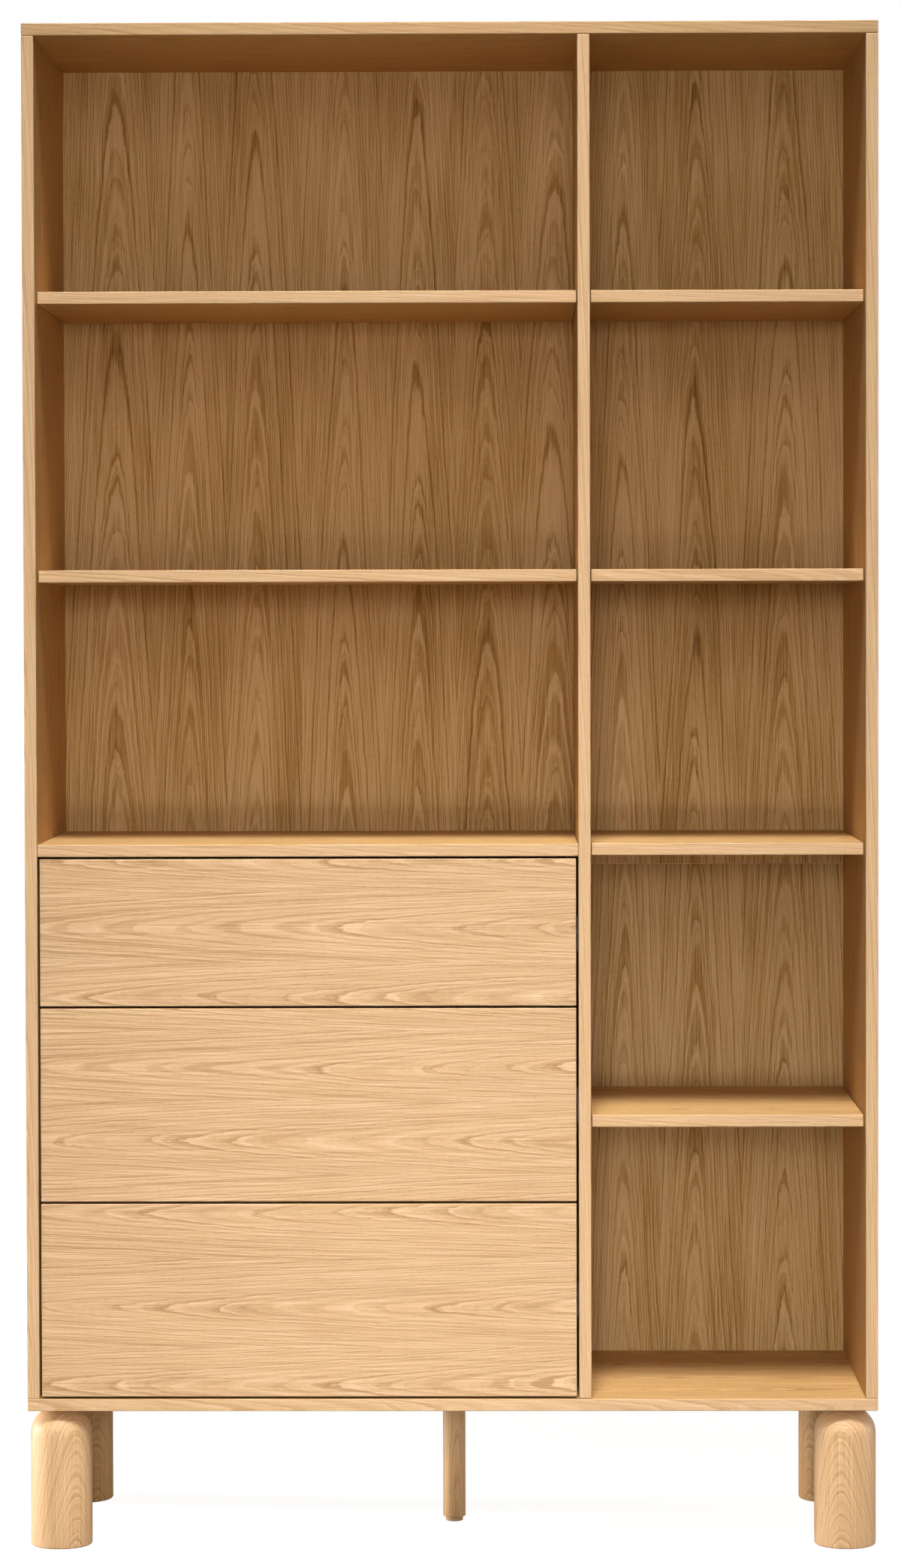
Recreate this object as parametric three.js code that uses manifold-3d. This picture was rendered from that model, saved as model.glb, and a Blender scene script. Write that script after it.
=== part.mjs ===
// Bookcase of oak-veneered boards: two bays of open shelves, three push-to-open
// drawers under the wide left bay, and thick round legs.
// Millimetres, +Z up. The origin is on the floor under the middle of the case,
// and the front faces -Y.

import * as THREE from 'three';
import { RoundedBoxGeometry } from 'three/addons/geometries/RoundedBoxGeometry.js';
import { mergeVertices } from 'three/addons/utils/BufferGeometryUtils.js';
import Module from 'manifold-3d';

const wasm = await Module();
wasm.setup();

// Whole case
const overallWidth = 1100;
const overallDepth = 380;
const overallHeight = 1970;
const legHeight = 180;
const leftBayWidth = 698;

// Boards
const boardThickness = 16;
const boardEdgeRadius = 1.2;
const jointGap = 0.2;
const edgeSegments = 1;
const overrun = 5;

// Back, in two sheets that lie in a rebate round the case
const backThickness = 4;
const backEdgeRadius = 0.5;
const backRebateWidth = 8;
const backFit = 0.3;
const backSeamDrop = 30;

// Loose shelves, each pushed over hidden pins that run in a groove in its ends
const upperShelfShares = [0.3404, 0.6861];
const rightBottomShelfShare = 0.5206;
const shelfSetback = 22;
const shelfEndGap = 1.2;
const shelfBackGap = 2;
const pinDiameter = 5;
const pinReach = 9;
const pinHoldDepth = 7;
const pinInset = 45;
const pinFit = 0.3;
const pinEndClearance = 1;
const pinSegments = 12;

// Round legs
const legDiameter = 80;
const legTopLand = 1.7;
const legFootRadius = 3;
const legSegments = 48;
const legTopSteps = 8;
const legFootSteps = 2;

// Slim support leg under the middle of the case, with a levelling foot
const centreLegDiameter = 30;
const centreLegEdgeRadius = 1;
const centreLegSegments = 32;
const footDiameter = 23;
const footHeight = 5;
const footEdgeRadius = 1;
const footGap = 1;
const stemDiameter = 8;
const stemLength = 34;

// Hanger bolts that hold the legs to the bottom board
const boltDiameter = 8;
const boltLengthInLeg = 40;
const boltBoardCover = 3;
const boltTipLength = 5;
const boltTipDiameter = 3;
const boreFit = 0.3;
const boreEndClearance = 1;
const boltSegments = 20;

// Drawers, from the lowest up
const drawerNames = ['lower_drawer', 'middle_drawer', 'upper_drawer'];
const drawerFrontHeights = [250, 250, 190];
const drawerGap = 3;
const drawerRearClearance = 20;
const drawerSideThickness = 12;
const drawerSideDrop = 26;
const drawerSideRise = 20;
const drawerBackDrop = 10;
const drawerEdgeRadius = 0.8;
const drawerBaseThickness = 5;
const drawerBaseRise = 12;
const drawerGrooveDepth = 6;
const drawerGrooveFit = 0.3;

// Full-extension runners: a case member, a middle member and a drawer member
const runnerSpace = 13;
const runnerHeight = 45;
const runnerSheet = 1.2;
const runnerPlay = 0.4;
const runnerWebClearance = 3;
const runnerTipClearance = 1.8;
const runnerFlangeClearance = 3.6;
const ballRowHeight = 3.6;
const caseMemberSetback = 4;
const caseMemberRearClearance = 6;
const middleMemberSetback = 2;
const middleMemberShortfall = 18;
const drawerMemberSetback = 1;
const drawerMemberShortfall = 3;

// Places that follow from the sizes above
const sideX = overallWidth / 2;
const frontY = -overallDepth / 2;
const backY = overallDepth / 2;
const backFaceY = backY - backThickness;
const floorZ = legHeight + boardThickness;
const ceilingZ = overallHeight - boardThickness;
const leftInnerX = -sideX + boardThickness;
const rightInnerX = sideX - boardThickness;
const dividerLeftX = leftInnerX + leftBayWidth;
const dividerRightX = dividerLeftX + boardThickness;
const drawerBoxBackY = backFaceY - drawerRearClearance;
const drawerSpaceHeight = drawerFrontHeights.reduce((sum, height) => sum + height + drawerGap, drawerGap);
const drawerCaseTopZ = floorZ + drawerSpaceHeight + boardThickness;
const backSeamZ = drawerCaseTopZ - boardThickness - backSeamDrop;
const openHeight = ceilingZ - drawerCaseTopZ;
const [lowerShelfZ, upperShelfZ] = upperShelfShares.map((share) => drawerCaseTopZ + share * openHeight);
const rightBottomShelfZ = floorZ + rightBottomShelfShare * drawerSpaceHeight;
const leftShelfTops = { lower_left_shelf: lowerShelfZ, upper_left_shelf: upperShelfZ };
const rightShelfTops = {
	right_shelf_1: rightBottomShelfZ,
	right_shelf_2: drawerCaseTopZ,
	right_shelf_3: lowerShelfZ,
	right_shelf_4: upperShelfZ,
};

// Finishes
const finishes = {
	oakVeneer: { color: 0xe0b585, roughness: 0.55, metalness: 0 },
	backVeneer: { color: 0xd6a978, roughness: 0.6, metalness: 0 },
	solidOak: { color: 0xe2b98a, roughness: 0.5, metalness: 0 },
	drawerPly: { color: 0xdcc7a0, roughness: 0.6, metalness: 0 },
	drawerBase: { color: 0xe4d9c4, roughness: 0.6, metalness: 0 },
	zincSteel: { color: 0xb9bcc0, roughness: 0.35, metalness: 0.9 },
	footPlastic: { color: 0xb98f63, roughness: 0.5, metalness: 0 },
};

// A block between two corners, with eased edges where a radius is given.
function blockBetween(low, high, radius = 0) {
	const size = high.map((value, axis) => value - low[axis]);
	const centre = high.map((value, axis) => (value + low[axis]) / 2);
	const block = radius > 0
		? new RoundedBoxGeometry(...size, edgeSegments, radius)
		: new THREE.BoxGeometry(...size);
	return block.translate(...centre);
}

// A round bar along X or Z between two ends, for pins and bores.
function barAlongX(diameter, startX, endX, y, z, segments) {
	const bar = new THREE.CylinderGeometry(diameter / 2, diameter / 2, endX - startX, segments);
	return bar.rotateZ(Math.PI / 2).translate((startX + endX) / 2, y, z);
}

function barAlongZ(diameter, x, y, startZ, endZ, segments) {
	const bar = new THREE.CylinderGeometry(diameter / 2, diameter / 2, endZ - startZ, segments);
	return bar.rotateX(Math.PI / 2).translate(x, y, (startZ + endZ) / 2);
}

// A turned piece about Z. Its profile lists [radius, z] from the axis at the
// bottom, up the outside and back to the axis.
function turned(profile, segments) {
	const points = profile.map(([radius, z]) => new THREE.Vector2(radius, z));
	return new THREE.LatheGeometry(points, segments).rotateX(Math.PI / 2);
}

// The points of a quarter round about a centre, between two angles in degrees.
function arcPoints(centreRadius, centreZ, arcRadius, fromAngle, toAngle, steps) {
	const points = [];
	for (let step = 0; step <= steps; step++) {
		const angle = THREE.MathUtils.degToRad(fromAngle + (toAngle - fromAngle) * step / steps);
		points.push([centreRadius + arcRadius * Math.cos(angle), centreZ + arcRadius * Math.sin(angle)]);
	}
	return points;
}

function toSolid(geometry) {
	const bare = new THREE.BufferGeometry();
	bare.setAttribute('position', geometry.getAttribute('position'));
	bare.setIndex(geometry.getIndex());
	const merged = mergeVertices(bare);
	return new wasm.Manifold(new wasm.Mesh({
		numProp: 3,
		vertProperties: new Float32Array(merged.getAttribute('position').array),
		triVerts: new Uint32Array(merged.getIndex().array),
	}));
}

function toGeometry(solid) {
	const mesh = solid.getMesh();
	const geometry = new THREE.BufferGeometry();
	geometry.setAttribute('position', new THREE.BufferAttribute(mesh.vertProperties, 3));
	geometry.setIndex(new THREE.BufferAttribute(mesh.triVerts, 1));
	geometry.computeVertexNormals();
	return geometry;
}

function cutFrom(geometry, cutters) {
	return toGeometry(cutters.reduce((solid, cutter) => solid.subtract(toSolid(cutter)), toSolid(geometry)));
}

function joinTo(geometry, additions) {
	return toGeometry(additions.reduce((solid, addition) => solid.add(toSolid(addition)), toSolid(geometry)));
}

// Adds a named mesh whose own origin is the middle of its box.
function addPiece(group, name, geometry, finish) {
	geometry.computeBoundingBox();
	const centre = geometry.boundingBox.getCenter(new THREE.Vector3());
	geometry.translate(-centre.x, -centre.y, -centre.z);
	const piece = new THREE.Mesh(geometry, new THREE.MeshStandardMaterial(finish));
	piece.name = name;
	piece.position.copy(centre);
	group.add(piece);
}

// The hidden pins that carry a bay's shelves at one of its walls. They are
// part of the wall that they are pressed into.
function supportPins(wallX, towardsBay, shelfTops) {
	const startX = wallX - towardsBay * pinHoldDepth;
	const endX = wallX + towardsBay * pinReach;
	const pinYs = [frontY + shelfSetback + pinInset, backFaceY - shelfBackGap - pinInset];
	const pins = [];
	for (const topZ of Object.values(shelfTops)) {
		for (const y of pinYs) {
			const low = Math.min(startX, endX);
			const high = Math.max(startX, endX);
			pins.push(barAlongX(pinDiameter, low, high, y, topZ - boardThickness / 2, pinSegments));
		}
	}
	return pins;
}

function makeTopBoard() {
	const board = blockBetween([-sideX, frontY, ceilingZ], [sideX, backY, overallHeight], boardEdgeRadius);
	const rebateX = sideX - boardThickness + backRebateWidth;
	const rebate = blockBetween(
		[-rebateX, backFaceY, ceilingZ - overrun],
		[rebateX, backY + overrun, ceilingZ + backRebateWidth],
	);
	return cutFrom(board, [rebate]);
}

function makeBottomBoard() {
	const board = blockBetween([-sideX, frontY, legHeight], [sideX, backY, floorZ], boardEdgeRadius);
	const rebateX = sideX - boardThickness + backRebateWidth;
	const rebate = blockBetween(
		[-rebateX, backFaceY, floorZ - backRebateWidth],
		[rebateX, backY + overrun, floorZ + overrun],
	);
	const boreTopZ = floorZ - boltBoardCover;
	const bores = allLegPlaces().map(({ x, y }) => (
		barAlongZ(boltDiameter + 2 * boreFit, x, y, legHeight - overrun, boreTopZ, boltSegments)
	));
	return cutFrom(board, [rebate, ...bores]);
}

// A side board, on the left for -1 and on the right for 1.
function makeSideBoard(side) {
	const innerX = side * (sideX - boardThickness);
	const lowX = Math.min(side * sideX, innerX);
	const highX = Math.max(side * sideX, innerX);
	const board = blockBetween(
		[lowX, frontY, floorZ + jointGap],
		[highX, backY, ceilingZ - jointGap],
		boardEdgeRadius,
	);
	const rebateEndX = innerX - side * overrun;
	const rebateStartX = innerX + side * backRebateWidth;
	const rebate = blockBetween(
		[Math.min(rebateStartX, rebateEndX), backFaceY, floorZ - overrun],
		[Math.max(rebateStartX, rebateEndX), backY + overrun, ceilingZ + overrun],
	);
	const shelfTops = side < 0 ? leftShelfTops : rightShelfTops;
	return joinTo(cutFrom(board, [rebate]), supportPins(innerX, -side, shelfTops));
}

function makeDivider() {
	const board = blockBetween(
		[dividerLeftX, frontY, floorZ + jointGap],
		[dividerRightX, backFaceY - backFit, ceilingZ - jointGap],
		boardEdgeRadius,
	);
	return joinTo(board, [
		...supportPins(dividerLeftX, -1, leftShelfTops),
		...supportPins(dividerRightX, 1, rightShelfTops),
	]);
}

function makeDrawerCaseTop() {
	return blockBetween(
		[leftInnerX + jointGap, frontY, drawerCaseTopZ - boardThickness],
		[dividerLeftX - jointGap, backFaceY - backFit, drawerCaseTopZ],
		boardEdgeRadius,
	);
}

// One sheet of the back, between two heights.
function makeBackSheet(lowZ, highZ) {
	const edgeX = sideX - boardThickness + backRebateWidth - backFit;
	return blockBetween([-edgeX, backFaceY, lowZ], [edgeX, backY, highZ], backEdgeRadius);
}

// A loose shelf between two walls, with a groove in each end that is open at
// the rear and takes that wall's pins.
function makeShelf(startX, endX, topZ) {
	const shelfFrontY = frontY + shelfSetback;
	const shelfBackY = backFaceY - shelfBackGap;
	const board = blockBetween(
		[startX + shelfEndGap, shelfFrontY, topZ - boardThickness],
		[endX - shelfEndGap, shelfBackY, topZ],
		boardEdgeRadius,
	);
	const grooveFrontY = shelfFrontY + pinInset - pinDiameter / 2 - pinEndClearance;
	const grooveHalfHeight = pinDiameter / 2 + pinFit;
	const middleZ = topZ - boardThickness / 2;
	const grooveReach = pinReach + pinEndClearance;
	const grooves = [[startX - overrun, startX + grooveReach], [endX - grooveReach, endX + overrun]];
	return cutFrom(board, grooves.map(([lowX, highX]) => blockBetween(
		[lowX, grooveFrontY, middleZ - grooveHalfHeight],
		[highX, shelfBackY + overrun, middleZ + grooveHalfHeight],
	)));
}

function addCase(group) {
	const { oakVeneer, backVeneer } = finishes;
	addPiece(group, 'top_board', makeTopBoard(), oakVeneer);
	addPiece(group, 'bottom_board', makeBottomBoard(), oakVeneer);
	addPiece(group, 'left_side_board', makeSideBoard(-1), oakVeneer);
	addPiece(group, 'right_side_board', makeSideBoard(1), oakVeneer);
	addPiece(group, 'divider_board', makeDivider(), oakVeneer);
	addPiece(group, 'drawer_case_top', makeDrawerCaseTop(), oakVeneer);
	const backLowZ = floorZ - backRebateWidth + backFit;
	const backHighZ = ceilingZ + backRebateWidth - backFit;
	addPiece(group, 'lower_back_sheet', makeBackSheet(backLowZ, backSeamZ - jointGap / 2), backVeneer);
	addPiece(group, 'upper_back_sheet', makeBackSheet(backSeamZ + jointGap / 2, backHighZ), backVeneer);
	for (const [name, topZ] of Object.entries(leftShelfTops)) {
		addPiece(group, name, makeShelf(leftInnerX, dividerLeftX, topZ), oakVeneer);
	}
	for (const [name, topZ] of Object.entries(rightShelfTops)) {
		addPiece(group, name, makeShelf(dividerRightX, rightInnerX, topZ), oakVeneer);
	}
}

// The round legs stand flush with the case's sides, front and back.
function roundLegPlaces() {
	const x = sideX - legDiameter / 2;
	const y = backY - legDiameter / 2;
	return [
		{ name: 'front_left_leg', x: -x, y: -y },
		{ name: 'front_right_leg', x, y: -y },
		{ name: 'rear_left_leg', x: -x, y },
		{ name: 'rear_right_leg', x, y },
	];
}

function allLegPlaces() {
	return [...roundLegPlaces(), { name: 'centre_leg', x: 0, y: 0 }];
}

// The upper end of a leg's profile: a bore for its hanger bolt, down to its end.
function boltBoreProfile(topZ) {
	const boreRadius = boltDiameter / 2 + boreFit;
	const boreEndZ = topZ - boltLengthInLeg - boreEndClearance;
	return [[boreRadius, topZ], [boreRadius, boreEndZ], [0, boreEndZ]];
}

function makeRoundLeg() {
	const radius = legDiameter / 2;
	const topZ = legHeight - jointGap;
	const topFlatRadius = boltDiameter / 2 + boreFit + legTopLand;
	const topRound = radius - topFlatRadius;
	return turned([
		[0, 0],
		...arcPoints(radius - legFootRadius, legFootRadius, legFootRadius, -90, 0, legFootSteps),
		...arcPoints(topFlatRadius, topZ - topRound, topRound, 0, 90, legTopSteps),
		...boltBoreProfile(topZ),
	], legSegments);
}

function makeCentreLeg() {
	const radius = centreLegDiameter / 2;
	const bottomZ = footHeight + footGap;
	const topZ = legHeight - jointGap;
	const stemBoreRadius = stemDiameter / 2 + boreFit;
	const stemBoreEndZ = footHeight + stemLength + boreEndClearance;
	const ease = centreLegEdgeRadius;
	return turned([
		[0, stemBoreEndZ],
		[stemBoreRadius, stemBoreEndZ],
		[stemBoreRadius, bottomZ],
		...arcPoints(radius - ease, bottomZ + ease, ease, -90, 0, legFootSteps),
		...arcPoints(radius - ease, topZ - ease, ease, 0, 90, legFootSteps),
		...boltBoreProfile(topZ),
	], centreLegSegments);
}

// The hanger bolt's pointed wood thread goes down into the leg and its machine
// thread up into the bottom board.
function makeHangerBolt() {
	const radius = boltDiameter / 2;
	const lowZ = legHeight - boltLengthInLeg;
	const highZ = floorZ - boltBoardCover - boreEndClearance;
	return turned([
		[0, lowZ],
		[boltTipDiameter / 2, lowZ],
		[radius, lowZ + boltTipLength],
		[radius, highZ],
		[0, highZ],
	], boltSegments);
}

function makeLevellingFoot() {
	const radius = footDiameter / 2;
	const ease = footEdgeRadius;
	return turned([
		[0, 0],
		...arcPoints(radius - ease, ease, ease, -90, 0, legFootSteps),
		...arcPoints(radius - ease, footHeight - ease, ease, 0, 90, legFootSteps),
		[0, footHeight],
	], centreLegSegments);
}

function makeLevellingStem() {
	const radius = stemDiameter / 2;
	const lowZ = footHeight + jointGap;
	const highZ = footHeight + stemLength;
	return turned([[0, lowZ], [radius, lowZ], [radius, highZ], [0, highZ]], boltSegments);
}

function addLegs(group) {
	const { solidOak, zincSteel, footPlastic } = finishes;
	for (const { name, x, y } of roundLegPlaces()) {
		addPiece(group, name, makeRoundLeg().translate(x, y, 0), solidOak);
	}
	addPiece(group, 'centre_leg', makeCentreLeg(), solidOak);
	for (const { name, x, y } of allLegPlaces()) {
		addPiece(group, `${name}_bolt`, makeHangerBolt().translate(x, y, 0), zincSteel);
	}
	addPiece(group, 'levelling_stem', makeLevellingStem(), zincSteel);
	addPiece(group, 'levelling_foot', makeLevellingFoot(), footPlastic);
}

// A folded steel channel along Y. The outer face of its web and the tips of
// its flanges are given as offsets from the wall that the runner is fixed to.
function channel(wallX, towardsDrawer, middleZ, sizes) {
	const { startY, endY, webOffset, tipOffset, halfHeight, flange } = sizes;
	const webInner = webOffset + Math.sign(tipOffset - webOffset) * runnerSheet;
	const outline = [
		[webOffset, -halfHeight],
		[tipOffset, -halfHeight],
		[tipOffset, -halfHeight + flange],
		[webInner, -halfHeight + flange],
		[webInner, halfHeight - flange],
		[tipOffset, halfHeight - flange],
		[tipOffset, halfHeight],
		[webOffset, halfHeight],
	];
	const shape = new THREE.Shape(outline.map(([offset, z]) => (
		new THREE.Vector2(wallX + towardsDrawer * offset, middleZ + z)
	)));
	const bar = new THREE.ExtrudeGeometry(shape, { depth: endY - startY, bevelEnabled: false });
	return bar.rotateX(Math.PI / 2).translate(0, endY, 0);
}

// One runner of three members, between a wall of the case and a drawer's side.
function addRunner(group, name, wallX, towardsDrawer, middleZ) {
	const { zincSteel } = finishes;
	const innerHalfHeight = runnerHeight / 2 - runnerSheet - runnerPlay;
	const flangeTip = runnerSpace - jointGap - runnerFlangeClearance;
	const middleWeb = jointGap + runnerSheet + runnerWebClearance;
	const drawerWeb = runnerSpace - jointGap;
	const drawerTip = middleWeb + runnerSheet + runnerTipClearance;
	const caseStartY = frontY + boardThickness + caseMemberSetback;
	const caseEndY = backFaceY - caseMemberRearClearance;
	const caseMember = channel(wallX, towardsDrawer, middleZ, {
		startY: caseStartY,
		endY: caseEndY,
		webOffset: jointGap,
		tipOffset: flangeTip,
		halfHeight: runnerHeight / 2,
		flange: runnerSheet,
	});
	const middleMember = channel(wallX, towardsDrawer, middleZ, {
		startY: caseStartY + middleMemberSetback,
		endY: caseEndY - middleMemberShortfall,
		webOffset: middleWeb,
		tipOffset: flangeTip,
		halfHeight: innerHalfHeight,
		flange: ballRowHeight,
	});
	const drawerMember = channel(wallX, towardsDrawer, middleZ, {
		startY: frontY + boardThickness + drawerMemberSetback,
		endY: drawerBoxBackY - drawerMemberShortfall,
		webOffset: drawerWeb,
		tipOffset: drawerTip,
		halfHeight: innerHalfHeight - ballRowHeight - runnerPlay,
		flange: runnerSheet,
	});
	addPiece(group, `${name}_case_member`, caseMember, zincSteel);
	addPiece(group, `${name}_middle_member`, middleMember, zincSteel);
	addPiece(group, `${name}_drawer_member`, drawerMember, zincSteel);
}

// A drawer box behind an inset front, with its base held in grooves.
function addDrawer(group, name, frontLowZ, frontHeight) {
	const { oakVeneer, drawerPly, drawerBase } = finishes;
	const backOfFrontY = frontY + boardThickness;
	const boxFrontY = backOfFrontY + jointGap;
	const outerLeftX = leftInnerX + runnerSpace;
	const outerRightX = dividerLeftX - runnerSpace;
	const innerLeftX = outerLeftX + drawerSideThickness;
	const innerRightX = outerRightX - drawerSideThickness;
	const innerBackY = drawerBoxBackY - drawerSideThickness;
	const sideLowZ = frontLowZ + drawerSideRise;
	const sideHighZ = frontLowZ + frontHeight - drawerSideDrop;
	const baseLowZ = sideLowZ + drawerBaseRise;
	const baseLow = [innerLeftX - drawerGrooveDepth, backOfFrontY - drawerGrooveDepth, baseLowZ];
	const baseHigh = [
		innerRightX + drawerGrooveDepth,
		innerBackY + drawerGrooveDepth,
		baseLowZ + drawerBaseThickness,
	];
	const groove = blockBetween(
		baseLow.map((value) => value - drawerGrooveFit),
		baseHigh.map((value) => value + drawerGrooveFit),
	);
	const front = blockBetween(
		[leftInnerX + drawerGap, frontY, frontLowZ],
		[dividerLeftX - drawerGap, backOfFrontY, frontLowZ + frontHeight],
		boardEdgeRadius,
	);
	const leftSide = blockBetween(
		[outerLeftX, boxFrontY, sideLowZ],
		[innerLeftX, drawerBoxBackY, sideHighZ],
		drawerEdgeRadius,
	);
	const rightSide = blockBetween(
		[innerRightX, boxFrontY, sideLowZ],
		[outerRightX, drawerBoxBackY, sideHighZ],
		drawerEdgeRadius,
	);
	const back = blockBetween(
		[innerLeftX + jointGap, innerBackY, sideLowZ],
		[innerRightX - jointGap, drawerBoxBackY, sideHighZ - drawerBackDrop],
		drawerEdgeRadius,
	);
	addPiece(group, `${name}_front`, cutFrom(front, [groove]), oakVeneer);
	addPiece(group, `${name}_left_side`, cutFrom(leftSide, [groove]), drawerPly);
	addPiece(group, `${name}_right_side`, cutFrom(rightSide, [groove]), drawerPly);
	addPiece(group, `${name}_back`, cutFrom(back, [groove]), drawerPly);
	addPiece(group, `${name}_base`, blockBetween(baseLow, baseHigh), drawerBase);
	const runnerZ = (sideLowZ + sideHighZ) / 2;
	addRunner(group, `${name}_left_runner`, leftInnerX, 1, runnerZ);
	addRunner(group, `${name}_right_runner`, dividerLeftX, -1, runnerZ);
}

function addDrawers(group) {
	let frontLowZ = floorZ + drawerGap;
	drawerNames.forEach((name, index) => {
		addDrawer(group, name, frontLowZ, drawerFrontHeights[index]);
		frontLowZ += drawerFrontHeights[index] + drawerGap;
	});
}

const group = new THREE.Group();
addCase(group);
addLegs(group);
addDrawers(group);

export default group;
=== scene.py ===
import math
import random

import bmesh
import bpy
from mathutils import Matrix, Vector


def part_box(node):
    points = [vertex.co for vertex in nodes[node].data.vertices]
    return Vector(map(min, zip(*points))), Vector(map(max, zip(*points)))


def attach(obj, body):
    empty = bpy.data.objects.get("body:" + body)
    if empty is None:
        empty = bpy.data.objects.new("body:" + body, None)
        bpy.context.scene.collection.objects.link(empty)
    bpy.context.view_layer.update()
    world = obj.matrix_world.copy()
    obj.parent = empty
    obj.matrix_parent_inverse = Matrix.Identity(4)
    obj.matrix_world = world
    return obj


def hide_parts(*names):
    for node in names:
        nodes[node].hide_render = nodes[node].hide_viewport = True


# Bookcase in oak veneer: two open bays, three push-to-open drawers, four thick
# round legs. Everything is in metres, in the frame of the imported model: floor at
# z 0, front towards -Y. Patterns in the materials are worked out in millimetres.

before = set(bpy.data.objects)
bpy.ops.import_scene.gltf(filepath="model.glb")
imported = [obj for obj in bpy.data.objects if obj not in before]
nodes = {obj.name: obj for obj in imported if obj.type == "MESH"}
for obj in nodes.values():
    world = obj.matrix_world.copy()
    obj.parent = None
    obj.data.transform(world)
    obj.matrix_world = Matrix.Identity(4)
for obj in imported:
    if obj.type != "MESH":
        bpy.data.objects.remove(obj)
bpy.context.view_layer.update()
print("frame loaded,", len(nodes), "CAD nodes")

bpy.context.scene.view_settings.view_transform = "Standard"


def toLinear(hexColour):
    channels = [int(hexColour[i:i + 2], 16) / 255 for i in (1, 3, 5)]
    return tuple(c / 12.92 if c <= 0.04045 else ((c + 0.055) / 1.055) ** 2.4 for c in channels) + (1,)


def addNode(tree, kind, settings=None, links=None):
    # a node with its own settings, its fixed socket values, and what feeds it
    node = tree.nodes.new(kind)
    for key, value in (settings or {}).items():
        if isinstance(key, int) or key in node.inputs:
            node.inputs[key].default_value = value
        else:
            setattr(node, key, value)
    for socket, source in (links or {}).items():
        tree.links.new(source, node.inputs[socket])
    return node


def newMaterial(name):
    material = bpy.data.materials.new(name)
    material.use_nodes = True
    material.node_tree.nodes.clear()
    return material, material.node_tree


def fillRamp(ramp, places, colours):
    stops = ramp.color_ramp.elements
    for place in places[1:-1]:
        stops.new(place)
    for stop, place, colour in zip(stops, places, colours):
        stop.position = place
        stop.color = toLinear(colour)


def keepMesh(shape, name):
    # the shape itself is given up
    mesh = bpy.data.meshes.new(name)
    shape.to_mesh(mesh)
    shape.free()
    return mesh


def addObject(name, data):
    placed = bpy.data.objects.new(name, data)
    bpy.context.scene.collection.objects.link(placed)
    return placed


# Camera: at the photograph's place and angle, found from the board edges

camera = {
    "place": (0.06746, -5.79201, 1.19227),
    "turnLeft": 0.5752,       # degrees
    "tiltDown": 1.4394,
    "rollLeft": 0.1358,
    "focalPixels": 5796.97,
    "axisPixel": (611.98, 982.43),
    "imageSize": (1200, 2089),
}


def makeCamera(values):
    data = bpy.data.cameras.new("camera")
    width, height = values["imageSize"]
    data.sensor_width = 36
    data.lens = values["focalPixels"] / height * data.sensor_width
    data.shift_x = (width / 2 - values["axisPixel"][0]) / height
    data.shift_y = (values["axisPixel"][1] - height / 2) / height
    data.clip_end = 100
    held = addObject("camera", data)
    turn = Matrix.Rotation(math.radians(values["turnLeft"]), 4, "Z")
    tilt = Matrix.Rotation(math.radians(90 - values["tiltDown"]), 4, "X")
    roll = Matrix.Rotation(math.radians(-values["rollLeft"]), 4, "Z")
    held.matrix_world = Matrix.Translation(values["place"]) @ turn @ tilt @ roll
    bpy.context.scene.camera = held


makeCamera(camera)
print("camera made")

# Studio: grey floor that the camera sees as pale, white surroundings, soft lamps

studio = {
    "floorSize": 30,
    "floorColour": "#959593",
    "floorGlow": (0.92, 1),   # for the camera only: near the bookcase, far away
    "glowReach": (0.8, 2.6),  # m
    "worldLevel": 0.02,
    # name: place, point it faces, width and height in metres, watts, spread in degrees
    "lamps": {
        "overheadSoftbox": ((0, -3.0, 6.096), (0, 0, 0), (1.2, 2.2), 24.5, 32),
        "highSoftbox": ((0, -5.638, 2.952), (0, 0, 0.9), (1.4, 1.4), 25.5, 180),
        "frontSoftbox": ((0, -5.95, 1.7), (0, 0, 1.0), (1.0, 0.6), 61.5, 180),
        "lowSoftbox": ((0, -6.0, 0.3), (0, 0, 0.25), (1.2, 0.4), 1.6, 24),
        "leftStrip": ((-2.967, 0.417, 0.257), (0, 0, 0.1), (0.3, 0.9), 138, 180),
        "rightStrip": ((2.967, 0.417, 0.257), (0, 0, 0.1), (0.3, 0.9), 30, 180),
        "rearSoftbox": ((0, 5.2, 2.4), (0, 0, 1.1), (2.0, 1.2), 30, 180),
    },
}


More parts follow.
